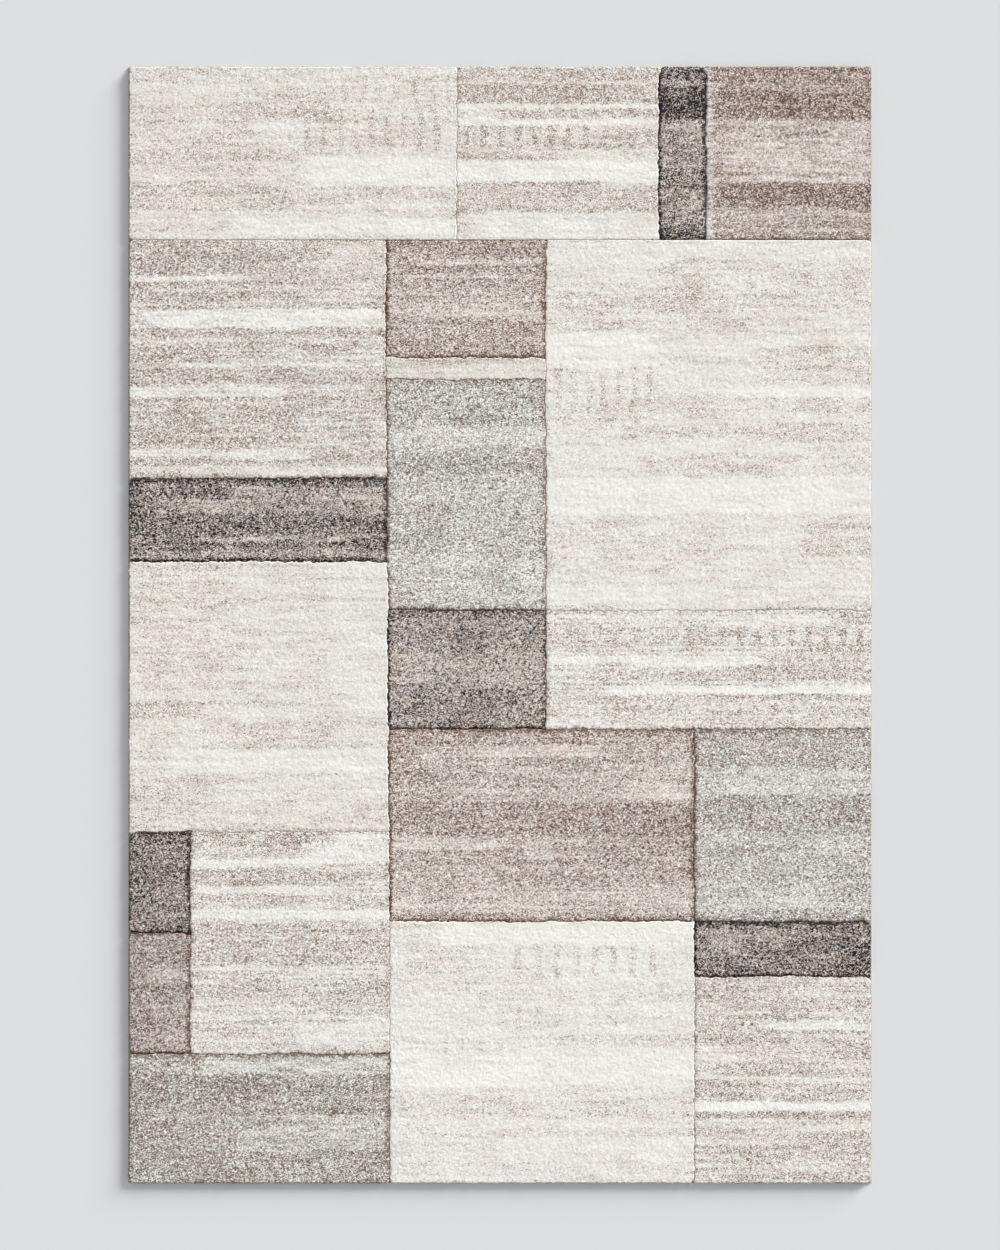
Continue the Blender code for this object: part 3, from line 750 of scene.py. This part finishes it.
# ---- the backing ----
UNDERSIDE_TOP = 0.0010  # the coat, the tapes and the label fill this height under the weave
STITCH_R = 0.00035
STITCH_SHARE = 0.72  # how much of a stitch's pitch its thread shows on
STITCH_SHAPE = ((0.0, 0.35), (0.12, 0.85), (0.35, 1.0), (0.65, 1.0), (0.88, 0.85), (1.0, 0.35))
SEAM_PITCH = 0.0058  # between the stitches of the end tapes
RIB_PITCH = 0.0042  # between the weft ribs that show through the back coat
RIB_RISE = 0.0003
WRAP_PITCH = 0.0034  # between turns of the overlock yarn
WRAP_RISE = 0.00045
WRAP_ROWS = 6  # points along the binding for each turn
WRAP_SLANT = 0.35  # turns further along by the time the yarn has gone round the side


def span(low, high, step):
    return np.linspace(low, high, max(2, round((high - low) / step) + 1))


def slab(name, xs, ys, top, bottom, shown, hole=None):
    """A thin closed sheet over a grid, with an opening where hole is (left, right, bottom, top).

    top and bottom give each point's height. shown says which face the bake's map is spread over.
    """
    x, y = np.meshgrid(xs, ys)
    rows, columns = x.shape
    size = rows * columns
    keep = np.ones((rows - 1, columns - 1), bool)
    if hole:
        middle_x = (xs[:-1] + xs[1:]) / 2
        middle_y = (ys[:-1] + ys[1:]) / 2
        across = (middle_x > hole[0]) & (middle_x < hole[1])
        along = (middle_y > hole[2]) & (middle_y < hole[3])
        keep &= ~(along[:, None] & across[None, :])
    upper = grid_quads(rows, columns)[keep.ravel()]
    lower = upper[:, ::-1] + size
    number = np.arange(size).reshape(rows, columns)
    solid = np.pad(keep, 1)
    inner = solid[1:-1, 1:-1]
    sides = (
        (~solid[:-2, 1:-1], number[:-1, :-1], number[:-1, 1:]),
        (~solid[2:, 1:-1], number[1:, 1:], number[1:, :-1]),
        (~solid[1:-1, :-2], number[1:, :-1], number[:-1, :-1]),
        (~solid[1:-1, 2:], number[:-1, 1:], number[1:, 1:]),
    )
    walls = []
    for open_side, start, end in sides:
        edge = inner & open_side
        walls.append(np.stack([start[edge] + size, end[edge] + size, end[edge], start[edge]], -1))
    first, last = (upper, lower) if shown == "top" else (lower, upper)
    quads = np.concatenate([first, *walls, last])
    points = np.concatenate([
        np.stack([x, y, top(x, y)], -1).reshape(-1, 3),
        np.stack([x, y, bottom(x, y)], -1).reshape(-1, 3),
    ])
    used, quads = np.unique(quads, return_inverse=True)
    piece = new_piece(name, points[used], quads.reshape(-1, 4))
    piece.data.set_sharp_from_angle(angle=math.radians(50))
    map_from_above(piece, plain_faces=len(last))
    return piece


def extruded(name, outline_at, along, facing):
    """A closed outline carried along a line. outline_at(t) gives each row's points, (rows, count, 3).

    facing is 1 where the outline turns counter-clockwise seen against the line, else -1.
    """
    points, tone = outline_at(along)
    rows, count = points.shape[:2]
    number = np.arange(rows * count).reshape(rows, count)
    after = np.roll(number, -1, axis=1)
    quads = np.stack([number[:-1], after[:-1], after[1:], number[1:]], -1).reshape(-1, 4)
    ends = [number[0][::-1], number[-1]]
    if facing < 0:
        quads = quads[:, ::-1]
        ends = [end[::-1] for end in ends]
    piece = new_piece(name, points.reshape(-1, 3), quads, ends, {"tone": tone.ravel()})
    mesh = piece.data
    corners = np.empty(len(mesh.loops), np.int32)
    mesh.loops.foreach_get("vertex_index", corners)
    step = np.tile(np.arange(count) / count, rows)
    length = np.repeat(np.arange(rows) / (rows - 1), count)
    uv = np.stack([length, step], -1)[corners]
    wrapped = quads.shape[0] * 4
    seam = np.tile(np.arange(count), rows - 1) == count - 1
    shut = (uv[:wrapped, 1].reshape(-1, 4) == 0) & seam[:, None]
    uv[:wrapped, 1] = np.where(shut.ravel(), 1.0, uv[:wrapped, 1])
    layer = mesh.uv_layers.new(name="OFBake")
    layer.data.foreach_set("uv", (uv * 0.99 + 0.005).astype(np.float32).ravel())
    return piece


def threads(name, starts, ends, radius, seed):
    """Short straight stitches, each a small closed tube with rounded ends."""
    starts = np.asarray(starts, float)
    run = np.asarray(ends, float) - starts
    up = np.tile((0.0, 0.0, 1.0), (len(starts), 1))
    aside = np.cross(up, run / np.linalg.norm(run, axis=1)[:, None])
    thickness = np.full(len(starts), radius)
    points, quads, each = tubes(starts, run, aside, up, thickness, STITCH_SHAPE, 6)
    tone = np.repeat(0.5 + 0.15 * np.random.default_rng(seed).standard_normal(len(starts)), each)
    piece = new_piece(name, points, quads, (), {"tone": tone})
    map_from_above(piece)
    return piece


def stitch_row(start, end, pitch):
    """The starts and ends of the stitches along one straight seam."""
    start = np.array(start, float)
    end = np.array(end, float)
    count = int(np.linalg.norm(end - start) / pitch)
    run = (end - start) / count
    places = start + run * np.arange(count)[:, None]
    return places, places + run * STITCH_SHARE


def fold_rows(low, step):
    """Places along the rug: up to the fold, close together in it, and where it ends."""
    before = span(low, FOLD_Y - FOLD_REACH, step)
    at = span(FOLD_Y - FOLD_REACH, FOLD_Y + FOLD_REACH, 0.001)
    return before, at[1:-1], FOLD_Y + FOLD_REACH


def ground_weave():
    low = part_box("ground_weave_field")[0]
    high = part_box("ground_weave_end")[1]
    before, at, after = fold_rows(low.y, 0.012)
    xs = span(low.x, high.x, 0.012)
    ys = np.concatenate([before, at, span(after, high.y, 0.012)])

    def top(x, y):
        return high.z - 0.00015 + 0.00015 * cloud(x, y, 0.024, 0.024, 901)

    def bottom(x, y):
        return low.z + 0.0001 + 0.0001 * cloud(x, y, 0.024, 0.024, 902)

    return slab("ground_weave_sheet", xs, ys, top, bottom, "top")


def back_coat():
    """Latex brushed over the weft ribs. It stops short of the end tapes, with a window for the label."""
    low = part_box("back_coat_field")[0]
    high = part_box("back_coat_end")[1]
    label_low, label_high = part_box("care_label")
    margin = 0.001
    hole = (label_low.x - margin, label_high.x + margin, label_low.y - margin, high.y + margin)
    before, at, after = fold_rows(low.y, 0.010)
    fine = span(after, hole[2], RIB_PITCH / 4)
    ys = np.concatenate([before, at, fine, span(hole[2], high.y, RIB_PITCH / 4)[1:]])
    left = span(low.x, hole[0], 0.030)
    right = span(hole[1], high.x, 0.030)
    xs = np.concatenate([left, span(hole[0], hole[1], 0.0155)[1:-1], right])

    def bottom(x, y):
        bend = 0.0012 * cloud(x, y, 0.150, 0.050, 911)
        rib = np.abs(np.sin(math.pi * (y + bend) / RIB_PITCH))
        on_band = smoothstep((y - after) / 0.010)
        return 0.00075 - on_band * RIB_RISE * rib - 0.0001 * (1 + cloud(x, y, 0.020, 0.020, 912))

    def top(x, y):
        return np.full_like(x, UNDERSIDE_TOP + 0.0001)

    return slab("back_coat_sheet", xs, ys, top, bottom, "bottom", hole=hole)


def overlock(side):
    """The yarn wrapped round a long side of the weave: side is -1 at the left and 1 at the right."""
    which = "left" if side < 0 else "right"
    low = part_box(f"side_binding_{which}_field")[0]
    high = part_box(f"side_binding_{which}_end")[1]
    wide = high.x - low.x
    edge = high.x if side > 0 else low.x
    thick = high.z
    rise = WRAP_RISE
    slot_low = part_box("ground_weave_field")[0].z - 0.0001
    slot_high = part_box("ground_weave_end")[1].z + 0.0001
    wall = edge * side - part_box("ground_weave_end")[1].x - 0.0002
    round_off = 0.0011
    # from the inner end of the leg underneath, out round the side, and back over the weave
    path = [(-share * wide, rise) for share in (1.0, 0.76, 0.52, 0.30)]
    for turn in np.radians((-75, -30, 0, 30, 75)):
        middle = thick / 2 + math.copysign(thick / 2 - rise - round_off, turn) * (abs(turn) > 0.01)
        path.append((-rise - round_off * (1 - math.cos(turn)), middle + round_off * math.sin(turn)))
    path += [(-share * wide, thick - rise) for share in (0.30, 0.52, 0.76, 1.0)]
    path = np.array(path)
    slope = np.gradient(path, axis=0)
    normal = np.stack([slope[:, 1], -slope[:, 0]], -1)
    normal /= np.linalg.norm(normal, axis=1)[:, None]
    gone = np.concatenate([[0], np.cumsum(np.linalg.norm(np.diff(path, axis=0), axis=1))])
    gone = gone / gone[-1]
    inside = np.array([(-wide, slot_high), (-wall, slot_high), (-wall, slot_low), (-wide, slot_low)])

    def outline_at(along):
        wander = 0.3 * ripple(along, 0.060, 921 + side)
        turn = along[:, None] / WRAP_PITCH + wander[:, None] + WRAP_SLANT * gone[None, :]
        bulge = np.abs(np.sin(math.pi * turn)) ** 0.6
        thickness = 0.85 + 0.15 * np.sin(np.floor(turn) * 12.9898)
        out = path[None] + normal[None] * (rise * bulge * thickness)[..., None]
        profile = np.concatenate([out, np.broadcast_to(inside, (len(along), 4, 2))], axis=1)
        # painted shade: each turn of yarn is darker in the grooves between turns and darkest in the slot
        # under the weave; the random part is each turn's own tone
        shade = 0.28 + 0.5 * bulge + 0.10 * np.sin(np.floor(turn) * 78.233)
        shade = np.concatenate([shade, np.full((len(along), 4), 0.2)], axis=1)
        x = edge + side * profile[..., 0]
        y = np.broadcast_to(along[:, None], x.shape)
        return np.stack([x, y, profile[..., 1]], -1), shade

    return extruded("overlock_" + which, outline_at, span(low.y, high.y, WRAP_PITCH / WRAP_ROWS), -side)


def end_tape(node, side):
    """The tape folded up over one short end, and the two rows of stitches that hold it."""
    low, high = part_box(node)
    edge = high.y if side > 0 else low.y
    wide = high.y - low.y
    wall = 0.0009
    bottom = 0.0004
    shares = (1.0, 0.93, 0.86, 0.74, 0.62, 0.50, 0.38, 0.26, 0.16, 0.09)
    path = [(-share * wide, bottom) for share in shares]
    path += [(-0.0008, bottom), (-0.0002, bottom + 0.0004), (-0.0001, 0.0015), (-0.0001, high.z - 0.0004)]
    path += [(-0.0005, high.z - 0.0001), (-wall, high.z - 0.0004)]
    path += [(-wall, UNDERSIDE_TOP), (-wide, UNDERSIDE_TOP)]
    path = np.array(path)
    seams = (-0.87 * wide, -0.13 * wide)

    def outline_at(along):
        pucker = 0.00018 * np.cos(2 * math.pi * along / SEAM_PITCH)[:, None]
        near_seam = sum(np.exp(-(((path[:, 0] - seam) / 0.003) ** 2)) for seam in seams)
        under = (path[:, 1] < 0.0006) & (path[:, 0] < -0.001)
        slack = 0.0001 * ripple(along, 0.04, 931)[:, None]
        z = path[None, :, 1] + (pucker * near_seam + slack) * under
        y = edge + side * np.broadcast_to(path[None, :, 0], z.shape)
        x = np.broadcast_to(along[:, None], z.shape)
        return np.stack([x, y, z], -1), np.full(z.shape, 0.5)

    tape = extruded("tape_" + node.removeprefix("end_tape_"), outline_at, span(low.x, high.x, 0.0029), side)
    starts, ends = [], []
    for seam in seams:
        level = (edge + side * seam, STITCH_R)
        first, second = stitch_row((low.x + 0.002, *level), (high.x - 0.002, *level), SEAM_PITCH)
        starts.append(first)
        ends.append(second)
    name = "stitches_" + node.removeprefix("end_tape_")
    return tape, threads(name, np.concatenate(starts), np.concatenate(ends), STITCH_R, 941 + side)


def care_label():
    """A blank satin label with a sealed edge, sewn down all round."""
    low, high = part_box("care_label")

    def top(x, y):
        return np.full_like(x, high.z)

    def bottom(x, y):
        edge = np.minimum(np.minimum(x - low.x, high.x - x), np.minimum(y - low.y, high.y - y))
        seam = np.exp(-(((edge - 0.003) / 0.0012) ** 2))
        return 0.00022 + 0.00012 * seam - 0.00006 * np.sin(2 * math.pi * x / 0.0012)

    xs = span(low.x, high.x, 0.0008)
    ys = span(low.y, high.y, 0.0010)
    label = slab("blank_care_label", xs, ys, top, bottom, "bottom")
    inset = 0.003
    thin = 0.0003
    left, right = low.x + inset, high.x - inset
    lower, upper = low.y + inset, high.y - inset
    corners = [(left, lower, thin), (right, lower, thin), (right, upper, thin), (left, upper, thin)]
    rows = [stitch_row(a, b, 0.0034) for a, b in zip(corners, corners[1:] + corners[:1])]
    stitches = threads("label_stitches", *(np.concatenate(r) for r in zip(*rows)), thin, 951)
    return label, stitches


# ---- node materials ----
class Nodes:
    """A short way to add nodes and join them."""

    def __init__(self, name):
        self.material = bpy.data.materials.new(name)
        self.material.use_nodes = True
        self.tree = self.material.node_tree
        self.shader = self.tree.nodes["Principled BSDF"]

    def add(self, kind, inputs=None, **settings):
        node = self.tree.nodes.new("ShaderNode" + kind)
        for key, value in settings.items():
            setattr(node, key, value)
        for key, value in (inputs or {}).items():
            self.put(node.inputs[key], value)
        return node

    def put(self, socket, value):
        if isinstance(value, bpy.types.NodeSocket):
            self.tree.links.new(value, socket)
        else:
            socket.default_value = value

    def math(self, operation, a, b=0.0, clamp=False):
        node = self.add("Math", {0: a, 1: b}, operation=operation, use_clamp=clamp)
        return node.outputs[0]

    def scaled(self, value, factor, start):
        return self.add("Math", {0: value, 1: factor, 2: start}, operation="MULTIPLY_ADD").outputs[0]

    def attribute(self, name, output="Fac"):
        return self.add("Attribute", attribute_name=name).outputs[output]

    def place(self):
        """Each point's place on the rug as it lies flat."""
        return self.attribute("place", "Vector")

    def noise(self, vector, scale, detail, **inputs):
        inputs = {"Vector": vector, "Scale": scale, "Detail": detail, **inputs}
        return self.add("TexNoise", inputs).outputs["Fac"]

    def multiplied(self, colour, other):
        inputs = {"Fac": 1.0, "Color1": colour, "Color2": other}
        return self.add("MixRGB", inputs, blend_type="MULTIPLY").outputs[0]

    def ramp(self, value, stops):
        node = self.add("ValToRGB", {"Fac": value})
        elements = node.color_ramp.elements
        while len(elements) < len(stops):
            elements.new(0.5)
        for element, (place, colour) in zip(elements, stops):
            element.position = place
            element.color = colour
        return node.outputs["Color"]

    def shades(self, value, stops, gain=1.0):
        """A ramp through sRGB colours."""
        return self.ramp(value, [(place, linear(colour, gain)) for place, colour in stops])

    def stretched(self, vector, factors):
        return self.add("VectorMath", {0: vector, 1: factors}, operation="MULTIPLY").outputs[0]

    def bump(self, height, distance, strength):
        node = self.add("Bump", {"Height": height, "Distance": distance, "Strength": strength})
        self.put(self.shader.inputs["Normal"], node.outputs["Normal"])

    def finish(self, colour, roughness, sheen=0.0, specular=0.3):
        self.put(self.shader.inputs["Base Color"], colour)
        self.put(self.shader.inputs["Roughness"], roughness)
        self.shader.inputs["Sheen Weight"].default_value = sheen
        self.shader.inputs["Sheen Roughness"].default_value = 0.5
        self.shader.inputs["Specular IOR Level"].default_value = specular
        return self.material


def pile_material(yarn_name):
    """Twisted heat-set yarn, cut: every yarn end has its own shade, and fine fibres, with painted shade
    between the yarn ends and deep down in the pile.
    """
    yarn = YARNS[yarn_name]
    n = Nodes(yarn_name + "_cut_pile")
    place = n.place()
    tone = n.attribute("tone")
    tint = n.attribute("tint")
    # the yarn ends lie over in every direction, so their cells are long and bent
    bend = n.add("TexNoise", {"Vector": place, "Scale": 210.0, "Detail": 1.0}).outputs["Color"]
    bend = n.add("VectorMath", {0: bend, 1: (-0.5, -0.5, -0.5)}, operation="ADD").outputs[0]
    bend = n.stretched(bend, (0.010, 0.010, 0.0))
    bent = n.add("VectorMath", {0: place, 1: bend}, operation="ADD").outputs[0]
    cells = {"Vector": n.stretched(bent, YARN_ENDS), "Scale": 1.0}
    ends = n.add("TexVoronoi", cells, voronoi_dimensions="2D")
    chances = n.add("SeparateColor", {"Color": ends.outputs["Color"]})
    shade = chances.outputs[0]
    fibre = n.noise(place, 1500.0, 3.0, Roughness=0.6)
    mixing = n.attribute("mixing")
    mixed = n.math("MULTIPLY", n.math("SUBTRACT", shade, 0.5), n.scaled(mixing, yarn["mix"], 0.0))
    fine = n.math("MULTIPLY", n.math("SUBTRACT", fibre, 0.5), 0.5)
    level = n.math("ADD", n.math("ADD", tone, mixed), fine, clamp=True)
    colour = n.shades(level, zip(RAMP_PLACES, yarn["colours"]), PILE_GAIN)
    hue = n.math("ADD", n.scaled(tint, 0.20, 0.0), chances.outputs[1])
    cool = (1 - 0.7 * yarn["hue"], 1.0, 1 + 0.7 * yarn["hue"], 1)
    brown = (1 + yarn["hue"], 1 - 0.1 * yarn["hue"], 1 - yarn["hue"], 1)
    warm = n.ramp(hue, [(0.0, cool), (0.5, (1.0, 1.0, 1.0, 1)), (1.0, brown)])
    colour = n.multiplied(colour, warm)
    # painted shade between the yarn ends
    gap_shade = n.ramp(ends.outputs["Distance"], [(0.35, (1, 1, 1, 1)), (0.85, (0.80, 0.79, 0.78, 1))])
    colour = n.multiplied(colour, gap_shade)
    rounding = n.math("SUBTRACT", 1.0, ends.outputs["Distance"])
    # painted shade: the yarn is darker deep down in the pile and on the sunny outer lip
    depth = n.attribute("depth")
    shaded = n.ramp(depth, [(0.0, (*[SHADED_FOOT] * 3, 1)), (1.0, (1, 1, 1, 1))])
    colour = n.multiplied(colour, shaded)
    height = n.math("ADD", rounding, n.math("MULTIPLY", fibre, 0.6))
    n.bump(height, 0.0007, 0.45)
    return n.finish(colour, n.scaled(fibre, 0.12, 0.84), sheen=0.08, specular=0.2)


def yarn_material(name, dark, light, fibre_scale):
    """Plied yarn or thread: painted shade darkens its grooves, which tone gives, with fine fibres."""
    n = Nodes(name)
    place = n.place()
    tone = n.attribute("tone")
    fibre = n.noise(place, fibre_scale, 3.0)
    patch = n.noise(place, 14.0, 2.0)
    level = n.math("ADD", tone, n.scaled(fibre, 0.5, -0.25))
    level = n.math("ADD", level, n.scaled(patch, 0.3, -0.15), clamp=True)
    lightest = [c * 1.03 for c in light]
    colour = n.shades(level, [(0.1, dark), (0.55, light), (1.0, lightest)])
    n.bump(fibre, 0.0002, 0.5)
    return n.finish(colour, n.scaled(fibre, 0.15, 0.73), sheen=0.15, specular=0.25)


def woven(n, place, pitch_x, pitch_y):
    """The height of a plain weave, where warps and wefts take turns on top, and of its ribs alone."""
    parts = n.add("SeparateXYZ", {"Vector": place})
    wave_x = n.math("SINE", n.scaled(parts.outputs[0], 2 * math.pi / pitch_x, 0.0))
    wave_y = n.math("SINE", n.scaled(parts.outputs[1], 2 * math.pi / pitch_y, 0.0))
    return n.math("MULTIPLY", wave_x, wave_y), n.math("ABSOLUTE", wave_y)


def jute_material():
    n = Nodes("jute_ground_weave")
    place = n.place()
    over = woven(n, place, 0.0060, 0.0084)[0]
    fibre = n.noise(n.stretched(place, (0.25, 1.0, 1.0)), 1400.0, 3.0)
    level = n.math("ADD", n.scaled(over, 0.22, 0.35), n.scaled(fibre, 0.6, -0.15), clamp=True)
    colour = n.shades(level, [(0.1, (92, 72, 48)), (0.5, (158, 130, 94)), (0.9, (200, 176, 138))])
    n.bump(n.math("ADD", over, fibre), 0.0005, 0.7)
    return n.finish(colour, n.scaled(fibre, 0.1, 0.82), specular=0.2)


def latex_material():
    """Cream latex, thin on the jute ribs, where the brown shows through, and thick between them."""
    n = Nodes("latex_back_coat")
    place = n.place()
    over, rib = woven(n, place, 0.0056, RIB_PITCH * 2)
    brushed = n.noise(n.stretched(place, (14.0, 190.0, 1.0)), 1.0, 2.0)
    blotch = n.noise(place, 24.0, 4.0)
    fibre = n.noise(place, 900.0, 3.0)
    level = n.math("ADD", n.scaled(rib, -0.36, 0.66), n.scaled(brushed, 0.30, -0.15))
    level = n.math("ADD", level, n.scaled(over, 0.10, 0.0))
    spotted = n.math("ADD", n.scaled(blotch, 0.30, -0.15), n.scaled(fibre, 0.5, -0.25))
    level = n.math("ADD", level, spotted, clamp=True)
    colours = ((118, 105, 88), (152, 141, 124), (176, 167, 152), (196, 189, 176))
    colour = n.shades(level, zip((0.10, 0.40, 0.62, 0.90), colours))
    height = n.math("ADD", n.math("ADD", rib, n.scaled(over, 0.4, 0.0)), n.scaled(fibre, 0.4, 0.0))
    n.bump(height, 0.0006, 0.8)
    return n.finish(colour, n.scaled(level, -0.25, 0.78), specular=0.4)


def twill_material():
    """Cotton tape in a fine herringbone."""
    n = Nodes("cotton_end_tape")
    place = n.place()
    parts = n.add("SeparateXYZ", {"Vector": place})
    zigzag = n.math("PINGPONG", parts.outputs[1], 0.0075)
    slant = n.math("ADD", parts.outputs[0], zigzag)
    rib = n.math("SINE", n.scaled(slant, 2 * math.pi / 0.0016, 0.0))
    fibre = n.noise(place, 1800.0, 3.0)
    soiled = n.noise(place, 9.0, 3.0)
    level = n.math("ADD", n.scaled(rib, 0.16, 0.5), n.scaled(fibre, 0.4, -0.2))
    level = n.math("ADD", level, n.scaled(soiled, 0.4, -0.2), clamp=True)
    colour = n.shades(level, [(0.1, (132, 122, 107)), (0.5, (180, 172, 158)), (0.9, (202, 196, 184))])
    n.bump(n.math("ADD", rib, fibre), 0.0003, 0.6)
    return n.finish(colour, n.scaled(fibre, 0.12, 0.78), sheen=0.1, specular=0.25)


def satin_material():
    """Woven satin ribbon: fine floats across it, a little glossy, with a heat-sealed edge."""
    n = Nodes("satin_care_label")
    place = n.place()
    floats = n.noise(n.stretched(place, (260.0, 3200.0, 1.0)), 1.0, 2.0)
    # the crease noise lightens and darkens the label's colour as painted shade of creases, and also gives its
    # bump
    crease = n.noise(place, 70.0, 3.0)
    level = n.math("ADD", n.scaled(floats, 0.5, 0.25), n.scaled(crease, 0.4, -0.2), clamp=True)
    colour = n.shades(level, [(0.1, (178, 176, 171)), (0.6, (204, 203, 199)), (1.0, (214, 213, 210))])
    n.bump(n.math("ADD", floats, crease), 0.0002, 0.5)
    return n.finish(colour, n.scaled(floats, 0.2, 0.35), sheen=0.1, specular=0.5)


# ---- the room ----
def camera():
    data = bpy.data.cameras.new("camera")
    data.lens = LENS
    data.sensor_width = SENSOR
    data.clip_end = 200.0
    eye = bpy.data.objects.new("camera", data)
    eye.location = (0.0, 0.0, CAD_BOX[1].z + VIEW_TALL * LENS / SENSOR)
    bpy.context.scene.collection.objects.link(eye)
    bpy.context.scene.camera = eye


def light():
    sun = bpy.data.lights.new("sun", "SUN")
    sun.energy = SUN_STRENGTH
    sun.angle = SUN_SOFTNESS
    lamp = bpy.data.objects.new("sun", sun)
    lamp.rotation_euler = (0.0, math.pi / 2 - SUN_ELEVATION, SUN_HEADING)
    bpy.context.scene.collection.objects.link(lamp)
    world = bpy.data.worlds.new("studio")
    world.use_nodes = True
    sky = world.node_tree.nodes["Background"]
    sky.inputs["Color"].default_value = (1.0, 1.0, 1.0, 1.0)
    sky.inputs["Strength"].default_value = WORLD_LIGHT
    bpy.context.scene.world = world
    bpy.context.scene.view_settings.view_transform = "Standard"


def floor():
    half = FLOOR_SIZE / 2
    corners = np.array([(-half, -half, 0), (half, -half, 0), (half, half, 0), (-half, half, 0)], float)
    ground = new_piece("studio_floor", corners, np.array([[0, 1, 2, 3]]))
    n = Nodes("floor")
    place = n.place()
    grain = n.noise(place, 6.0, 2.0)
    colour = n.ramp(grain, [(0.3, (*[c * 0.995 for c in FLOOR_ALBEDO], 1)), (0.7, (*FLOOR_ALBEDO, 1))])
    ground.data.materials.append(n.finish(colour, 0.8, specular=0.1))


camera()
light()
floor()

# ---- the rug ----
def place_piece(piece, material, nodes, body=None):
    """Gives a piece its material, hides the CAD nodes it stands for, and joins it to its body. Without one,
    its transform is baked into its mesh.
    """
    piece.data.materials.append(material)
    if nodes:
        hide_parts(*nodes)
    if body:
        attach(piece, body)
    else:
        before, after = (0, FOLD_Y - FOLD_REACH, 0), (0, FOLD_Y + FOLD_REACH, 0)
        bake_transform(piece)
        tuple(before)
        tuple(after)
    return piece


materials = {name: pile_material(name) for name in YARNS}
for body, nodes in frame["record"]["behaviour"]["bodies"].items():
    for number, node in enumerate(sorted(nodes)):
        if node.startswith("pile_"):
            yarn_name = node.split("_")[1]
            block = pile_piece(node, 100 * (number + 1) + (50 if body == FOLD["child"] else 0))
            place_piece(block, materials[yarn_name], [node], body)

binding_yarn = yarn_material("overlock_yarn", (92, 83, 73), (160, 151, 139), 1600.0)
thread = yarn_material("sewing_thread", (130, 121, 109), (196, 190, 179), 3000.0)
twill = twill_material()
for side, which in ((-1, "left"), (1, "right")):
    nodes = [f"side_binding_{which}_{part}" for part in ("field", "end")]
    place_piece(overlock(side), binding_yarn, nodes)
for side, which, body in ((-1, "bottom", FOLD["parent"]), (1, "top", FOLD["child"])):
    tape, stitches = end_tape("end_tape_" + which, side)
    place_piece(tape, twill, ["end_tape_" + which], body)
    place_piece(stitches, thread, [], body)
label, label_stitches = care_label()
place_piece(label, satin_material(), ["care_label"], FOLD["child"])
place_piece(label_stitches, thread, [], FOLD["child"])
coat_nodes = ["back_coat_field", "back_coat_end"]
place_piece(back_coat(), latex_material(), coat_nodes)
weave_nodes = ["ground_weave_field", "ground_weave_end"]
weave = place_piece(ground_weave(), jute_material(), weave_nodes)
